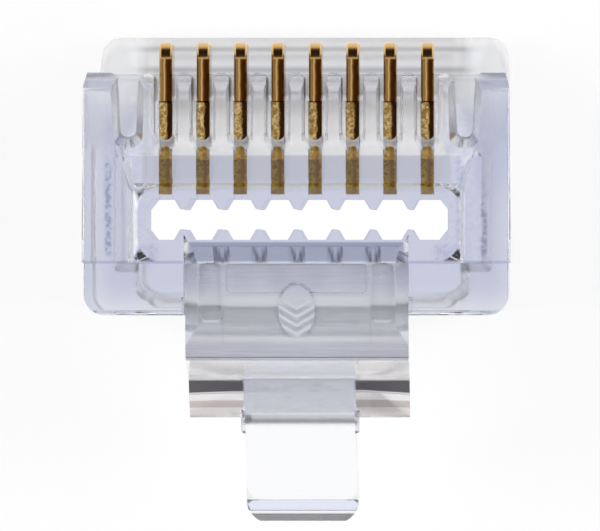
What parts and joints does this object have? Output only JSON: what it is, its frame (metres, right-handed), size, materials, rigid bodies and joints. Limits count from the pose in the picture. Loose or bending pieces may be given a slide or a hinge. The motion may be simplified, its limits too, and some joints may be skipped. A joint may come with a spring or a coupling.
{
  "type": "modular plug",
  "caption": "Clear modular plug with gold contact blades in a comb, wire holes right through its nose, a snap latch with finger tab, and a hollow cable entry.",
  "frame": {"origin": "centre of the cable entry, in the plane of the rear rim that the plug stands on", "axes": "+Z from the cable entry to the nose, the way the plug goes into a jack; +X across the comb of contacts; +Y towards the contact side, so the latch is on -Y"},
  "size_m": [0.0116, 0.0136, 0.0215],
  "materials": {
    "clear_polycarbonate": "clear, polished, with a faint blue tint",
    "contact_gold": "gold plate, polished on the head, sheared and bare lower down"
  },
  "bodies": {
    "housing": {"housing": "clear_polycarbonate"},
    "latch": {"latch_lever": "clear_polycarbonate"},
    "contact_1": {"contact_1": "contact_gold"},
    "contact_2": {"contact_2": "contact_gold"},
    "contact_3": {"contact_3": "contact_gold"},
    "contact_4": {"contact_4": "contact_gold"},
    "contact_5": {"contact_5": "contact_gold"},
    "contact_6": {"contact_6": "contact_gold"},
    "contact_7": {"contact_7": "contact_gold"},
    "contact_8": {"contact_8": "contact_gold"}
  },
  "joints": [
    {"name": "latch_flex", "type": "hinge", "parent": "housing", "child": "latch", "pos_m": [0, -0.0048, 0.01866], "axis": [1, 0, 0], "range_deg": [0, 15], "stiffness_Nm_per_rad": 0.15},
    {"name": "crimp_1", "type": "slide", "parent": "housing", "child": "contact_1", "axis": [0, -1, 0], "range_m": [0, 0.00123]},
    {"name": "crimp_2", "type": "slide", "parent": "housing", "child": "contact_2", "axis": [0, -1, 0], "range_m": [0, 0.00123]},
    {"name": "crimp_3", "type": "slide", "parent": "housing", "child": "contact_3", "axis": [0, -1, 0], "range_m": [0, 0.00123]},
    {"name": "crimp_4", "type": "slide", "parent": "housing", "child": "contact_4", "axis": [0, -1, 0], "range_m": [0, 0.00123]},
    {"name": "crimp_5", "type": "slide", "parent": "housing", "child": "contact_5", "axis": [0, -1, 0], "range_m": [0, 0.00123]},
    {"name": "crimp_6", "type": "slide", "parent": "housing", "child": "contact_6", "axis": [0, -1, 0], "range_m": [0, 0.00123]},
    {"name": "crimp_7", "type": "slide", "parent": "housing", "child": "contact_7", "axis": [0, -1, 0], "range_m": [0, 0.00123]},
    {"name": "crimp_8", "type": "slide", "parent": "housing", "child": "contact_8", "axis": [0, -1, 0], "range_m": [0, 0.00123]}
  ],
  "couplings": [
    {"joint": "crimp_2", "follows": "crimp_1", "ratio": 1},
    {"joint": "crimp_3", "follows": "crimp_1", "ratio": 1},
    {"joint": "crimp_4", "follows": "crimp_1", "ratio": 1},
    {"joint": "crimp_5", "follows": "crimp_1", "ratio": 1},
    {"joint": "crimp_6", "follows": "crimp_1", "ratio": 1},
    {"joint": "crimp_7", "follows": "crimp_1", "ratio": 1},
    {"joint": "crimp_8", "follows": "crimp_1", "ratio": 1}
  ]
}
